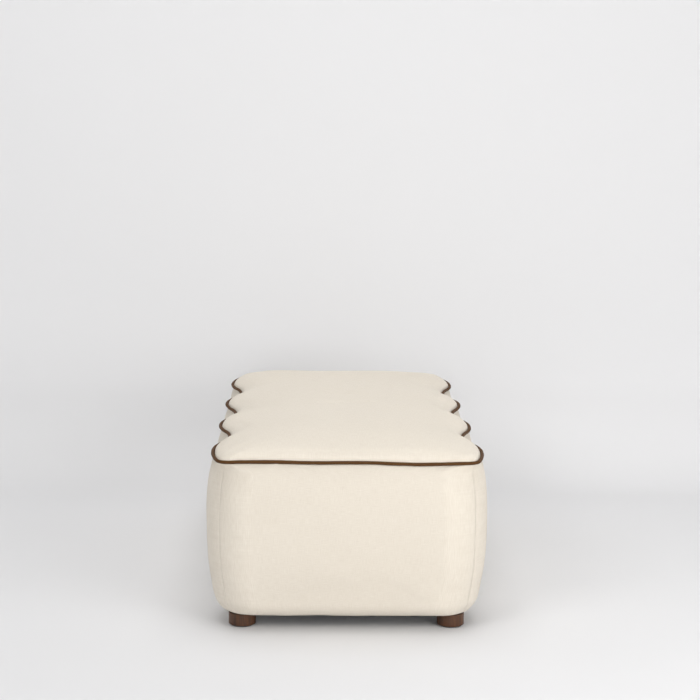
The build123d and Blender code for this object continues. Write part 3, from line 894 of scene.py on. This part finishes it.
def make_piping():
    """The piping's covering, which wavers a little and has its flange in the seam, and the cord inside it."""
    flat = ring(-piping_setback, 0, fine=piping_fine)[:, :2]
    count = len(flat)
    u = lengths_along(np.concatenate([flat, flat[:1]]))[:-1]
    ahead = np.roll(flat, -1, 0) - np.roll(flat, 1, 0)
    ahead /= np.linalg.norm(ahead, axis=1, keepdims=True)
    outward = np.column_stack([ahead[:, 1], -ahead[:, 0]])
    waver_up = seam_waver(flat)
    waver_out = outward_waver * outward_waver_waves.at(flat[:, 0], flat[:, 1])
    swell = 1 + piping_swell_share * piping_swell_waves.at(flat[:, 0], flat[:, 1])
    turns = np.arange(tube_steps) * 2 * math.pi / tube_steps
    cover = round_tube(flat, outward, [piping_radius * swell] * tube_steps, turns, waver_out, waver_up)
    strip = 2 * piping_hide
    near, far = -piping_radius / 2, -piping_flange_reach
    low = -piping_radius
    flange = tube_points(flat, outward, (near, near, far, far), (low, low + strip, low + strip, low))
    faces = grid_faces(len(cover), count, True, True)
    shift = cover.shape[0] * count
    faces += [tuple(i + shift for i in face) for face in grid_faces(len(flange), count, True, True)]
    piece = new_object("piping", np.concatenate([cover, flange]).reshape(-1, 3), faces)
    across = np.concatenate([turns * piping_radius, np.linspace(0, 2 * piping_flange_reach, 4)])
    bias = [((u + a) * math.sqrt(0.5), (a - u) * math.sqrt(0.5), 0 * u) for a in across]
    set_cloth(piece, np.array(bias).transpose(0, 2, 1).reshape(-1, 3))
    dress(piece, brown_piping, "piping_fabric", "piping_cover")
    cord_radius = piping_radius - piping_hide - cord_gap
    strand = 2 * math.pi * u / cord_lay
    core = []
    for turn in turns:
        core.append(cord_radius * (0.93 + 0.07 * np.abs(np.sin(1.5 * turn + strand / 2))))
    cord = round_tube(flat, outward, core, turns, waver_out, waver_up)
    piece = new_object("filler_cord", cord.reshape(-1, 3), grid_faces(len(cord), count, True, True))
    places = [(u, 0 * u + turn * cord_radius, 0 * u) for turn in turns]
    set_cloth(piece, np.array(places).transpose(0, 2, 1).reshape(-1, 3))
    dress(piece, cotton_filler, "cotton_cord", "piping_cord")


# Padding inside the cover


def rounded_edge(grow, low, high, radius):
    """The (grow, height) curve of an upright side with both edges rounded."""
    turns = [i * math.pi / 8 for i in range(5)]
    under = [(grow - radius * (1 - math.sin(t)), low + radius * (1 - math.cos(t))) for t in turns]
    return under + [(g, high + low - height) for g, height in reversed(under)]


def make_pads():
    """Foam round the frame and the slab, one pad behind each band, thicker beside the frame."""
    curve = side_curve(side_curve_steps)
    inner = moved_in(curve, under_cloth)
    rows = []
    for (grow, height), (inner_grow, inner_height) in zip(curve, inner):
        flat = side_ring(grow, height, grow - inner_grow, pad_corner_softening)
        rows.append(flat * [1, 1, 0] + [0, 0, inner_height])
    shoulder = slab_low.z - layer_gap
    back = liner_grow + layer_gap
    upper_back = slab_grow + layer_gap
    corner = frame_corner_radius + pad_corner_clearance
    rows.append(ring(upper_back, inner[-1][1], corner=slab_corner_radius))
    rows.append(ring(upper_back, shoulder, corner=slab_corner_radius))
    rows.append(ring(back, shoulder, corner=corner))
    rows.append(ring(back, inner[0][1] + pad_lift, corner=corner))
    points = np.array(rows)
    outside = points[:len(curve)]
    relief, rise = side_relief(outside, curve)
    dents = pad_dent * pad_dent_waves.at(outside[:, :, 0] + outside[:, :, 1], outside[:, :, 2])
    outside += outward_normals(outside) * (relief - dents - pad_gap)[:, :, None]
    outside[:, :, 2] += rise
    count = points.shape[1]
    for side, (start, end) in corner_columns().items():
        columns = np.arange(start, end + 1)
        part = points[:, columns % count]
        faces = grid_faces(len(part), len(columns), False, True)
        first = np.arange(len(part)) * len(columns)
        faces += [tuple(int(i) for i in first), tuple(int(i) + len(columns) - 1 for i in first[::-1])]
        piece = new_object(f"{side}_pad", part.reshape(-1, 3), faces)
        dress(piece, soft_foam, "soft_foam", f"pad_{side}")


def make_seat():
    """The firm slab and the crowned topper of softer foam."""
    slab = []
    for grow, height in rounded_edge(slab_grow, slab_low.z, slab_high.z, foam_edge_round):
        slab.append(ring(grow, height, corner=slab_corner_radius + grow - slab_grow))
    piece = closed_body("seat_slab", np.array(slab))
    dress(piece, firm_foam, "firm_foam", "seat_foam_slab")
    inner = moved_in(crown_curve(topper_curve_steps), under_cloth)
    start = float(np.interp(foam_low.z, inner[:, 1], inner[:, 0]))
    above = [point for point in inner if point[1] > foam_low.z + topper_edge]
    inner = np.array([(start, foam_low.z)] + above)
    rows = np.array([crown_ring(grow, height) for grow, height in inner])
    relief, rise = seat_relief(rows, inner)
    dents = topper_dent * topper_dent_waves.at(rows[:, :, 0], rows[:, :, 1])
    top = rows[1:]
    top += (outward_normals(rows) * relief[:, :, None])[1:]
    top[:, :, 2] += (rise - dents)[1:] - topper_gap
    top[:, :, 2] = np.maximum(top[:, :, 2], foam_low.z + least_rise)
    piece = closed_body("seat_topper", rows)
    dress(piece, soft_foam, "soft_foam", "seat_foam_crown")


def flat_cloth(name, low, high, corner, sag, material, slot, node):
    """A flat sheet in the outline's shape, with a slight waviness."""
    grow = high.x - half_width
    edge = ring(grow, high.z, corner=corner)
    inner = ring(grow - held_edge, high.z, corner=corner)
    count = len(edge)
    middle, faces = fill_ring(inner, count, 2 * count)
    vertices = np.concatenate([edge, inner, middle])
    inside = np.concatenate([np.zeros(count), np.full(len(vertices) - count, 1)])
    vertices[:, 2] -= sag * inside * (1 + flat_cloth_waves.at(vertices[:, 0], vertices[:, 1])) / 2
    piece = new_object(name, vertices, grid_faces(2, count, True) + faces)
    set_cloth(piece, vertices * [1, 1, 0])
    thicken(piece, high.z - low.z)
    dress(piece, material, slot, node)


def make_straps():
    """Woven straps across the top frame, over and under each other."""
    long_boxes = [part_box(f"webbing_long_{i}") for i in (1, 2)]
    crossings = [(low.x + high.x) / 2 for low, high in long_boxes]
    base = (long_boxes[0][0].z + long_boxes[0][1].z) / 2
    thickness = long_boxes[0][1].z - long_boxes[0][0].z
    clear = strap_width / 2 + thickness
    lift = thickness + strap_gap
    shares = np.linspace(-0.5, 0.5, 7)
    for i in range(8):
        along_length = i < 2
        node = f"webbing_long_{i + 1}" if along_length else f"webbing_cross_{i - 1}"
        low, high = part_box(node)
        reach = high.y if along_length else high.x
        steps = np.linspace(-reach, reach, 90)
        rise = np.zeros(len(steps))
        if not along_length:
            signs = [(-1) ** (i + j) for j in range(2)]
            knots = [-reach, strap_landing - reach]
            heights = [0, 0]
            for place, sign in zip(crossings, signs):
                knots += [place - clear, place + clear]
                heights += [sign * lift, sign * lift]
            rise = np.interp(steps, knots + [reach - strap_landing, reach], heights + [0, 0])
        rows = []
        for share in shares:
            across = share * strap_width
            edge = 0.25 * thickness * (abs(share) > 0.45)
            x = (low.x + high.x) / 2 + across if along_length else steps
            y = steps if along_length else (low.y + high.y) / 2 - across
            rows.append(np.column_stack([x + 0 * steps, y + 0 * steps, base + rise + thickness / 2 - edge]))
        faces = grid_faces(len(shares), len(steps), False)
        piece = new_object(node.replace("webbing", "strap"), np.concatenate(rows), faces)
        flat_places = [(steps, 0 * steps + share * strap_width, 0 * steps) for share in shares]
        set_cloth(piece, np.array(flat_places).transpose(0, 2, 1).reshape(-1, 3))
        thicken(piece, thickness)
        dress(piece, strap_webbing, "webbing", node)


def make_glides():
    """A felt disc with a softly rounded edge under each foot."""
    feet = [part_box(name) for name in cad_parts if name.startswith("foot_")]
    thickness = glide_high.z - glide_low.z
    profile = [
        (glide_radius - 1 * mm, 0), (glide_radius - 0.3 * mm, 0.3 * mm), (glide_radius, 1 * mm),
        (glide_radius, thickness - 0.6 * mm), (glide_radius - 0.5 * mm, thickness),
    ]
    steps = 48
    vertices, faces = [], []
    for low, high in feet:
        middle = np.array([(low.x + high.x) / 2, (low.y + high.y) / 2, 0])
        first = len(vertices)
        for reach, height in profile:
            turns = 2 * math.pi * np.arange(steps) / steps
            circle = np.column_stack([reach * np.cos(turns), reach * np.sin(turns), 0 * turns + height])
            vertices += (circle + middle).tolist()
        faces += [tuple(i + first for i in face) for face in grid_faces(len(profile), steps, True)]
        faces.append(tuple(range(first + steps - 1, first - 1, -1)))
        top = first + (len(profile) - 1) * steps
        faces.append(tuple(range(top, top + steps)))
    piece = new_object("felt_discs", vertices, faces)
    dress(piece, grey_felt, "felt", "felt_glides")


# Finishes of the pieces that stay


def finish_nodes():
    """Materials for the frame, the feet and the fasteners."""
    by_start = (
        ("base_", base_ply), ("top_", base_ply), ("stretcher_", base_ply), ("liner_", liner_ply),
        ("post_", post_pine), ("foot_", dark_walnut), ("hanger_", zinc), ("tee_", zinc),
        ("frame_screws", zinc), ("staples", zinc),
    )
    for name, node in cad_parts.items():
        for start, material in by_start:
            if name.startswith(start):
                node.data.materials.clear()
                node.data.materials.append(material)


make_bands()
make_seat_cover()
make_piping()
make_pads()
make_seat()
flat_cloth(
    "hessian_cloth", hessian_low, hessian_high, frame_corner_radius, hessian_sag, jute_hessian,
    "hessian", "hessian",
)
flat_cloth(
    "under_cloth", dust_low, dust_high, corner_radius, dust_sag, black_cambric, "dust_cloth", "dust_cover",
)
make_straps()
make_glides()
finish_nodes()


# Stage, light and camera


def plain_paper():
    """The pale floor and backdrop, which can be seen through from behind and from below."""
    shader = Shader("pale_paper")
    place = shader.place()
    # The floor part is painted darker than the backdrop, blended over the lowest 0.3 m, and softly mottled:
    # painted shade and light fall-off on one paper sheet.
    tone = shader.noise(place, 1.5, 2.0)
    _, _, height = shader.parts(place)
    floor = shader.blend_colors(tone, paint(223, 223, 224), paint(226, 226, 227))
    color = shader.blend_colors((height / 0.3).clamp(), floor, paint(235, 235, 236))
    paper = shader.surface({"Base Color": color, "Roughness": 0.9, "Specular IOR Level": 0.1})
    behind = shader.node("ShaderNodeNewGeometry", {}, {}, "Backfacing")
    clear = shader.node("ShaderNodeBsdfTransparent")
    return shader.finish(shader.node("ShaderNodeMixShader", {}, {0: behind, 1: paper, 2: clear}))


def make_stage():
    """A floor that curves up into a backdrop behind the ottoman."""
    reach, wall, height, bend = 6.0, 1.05, 4.0, 0.25
    line = [(-reach, 0.0), (wall - bend, 0.0)]
    for i in range(1, 9):
        turn = i * math.pi / 16
        line.append((wall - bend + bend * math.sin(turn), bend - bend * math.cos(turn)))
    line.append((wall, height))
    vertices = [(side * reach, y, z) for y, z in line for side in (-1, 1)]
    faces = [(2 * i, 2 * i + 1, 2 * i + 3, 2 * i + 2) for i in range(len(line) - 1)]
    stage = new_object("stage_paper", vertices, faces)
    stage.data.materials.append(plain_paper())


def area_lamp(name, azimuth, elevation, distance, size, power, tint):
    """A soft square lamp that points at the ottoman, from angles right of the front and above the floor."""
    turn, climb = math.radians(azimuth), math.radians(elevation)
    target = Vector((0, 0, 0.25))
    away = Vector((math.sin(turn) * math.cos(climb), -math.cos(turn) * math.cos(climb), math.sin(climb)))
    lamp = bpy.data.lights.new(name, "AREA")
    lamp.shape = "SQUARE"
    lamp.size = size
    lamp.energy = power
    lamp.color = tint
    made = bpy.data.objects.new(name, lamp)
    made.location = target + distance * away
    made.rotation_mode = "QUATERNION"
    made.rotation_quaternion = (-away).to_track_quat("-Z", "Y")
    bpy.context.scene.collection.objects.link(made)


def make_light():
    """Soft lamps in front and above, and an even fill from all round."""
    world = bpy.data.worlds.new("studio_air")
    bpy.context.scene.world = world
    world.use_nodes = True
    world.node_tree.nodes["Background"].inputs["Color"].default_value = (1, 1, 1, 1)
    world.node_tree.nodes["Background"].inputs["Strength"].default_value = 0.19
    area_lamp("key_right", 34, 15, 3.1, 1.6, 35, (1, 0.99, 0.98))
    area_lamp("low_front", -4, 7, 5, 1.2, 31, (1, 1, 1))
    area_lamp("fill_right", 62, 24, 7, 3, 26, (1, 1, 1))
    area_lamp("fill_left", -38, 33, 7, 3, 118, (1, 0.995, 0.99))
    area_lamp("top_soft", 0, 88, 5, 3.5, 118, (1, 1, 1))


def make_camera():
    """The camera at the photograph's place and angle."""
    data = bpy.data.cameras.new("camera")
    data.lens = camera_lens
    data.sensor_width = 36
    ahead = Vector((math.sin(camera_yaw), math.cos(camera_yaw), -math.tan(camera_pitch))).normalized()
    level = ahead.cross(Vector((0, 0, 1))).normalized()
    rise = level.cross(ahead)
    across = level * math.cos(camera_roll) + rise * math.sin(camera_roll)
    up = rise * math.cos(camera_roll) - level * math.sin(camera_roll)
    camera = bpy.data.objects.new("camera", data)
    camera.location = camera_place
    camera.rotation_mode = "QUATERNION"
    camera.rotation_quaternion = Matrix((across, up, -ahead)).transposed().to_quaternion()
    bpy.context.scene.collection.objects.link(camera)
    bpy.context.scene.camera = camera


make_stage()
make_light()
make_camera()
bpy.context.scene.view_settings.view_transform = "Standard"
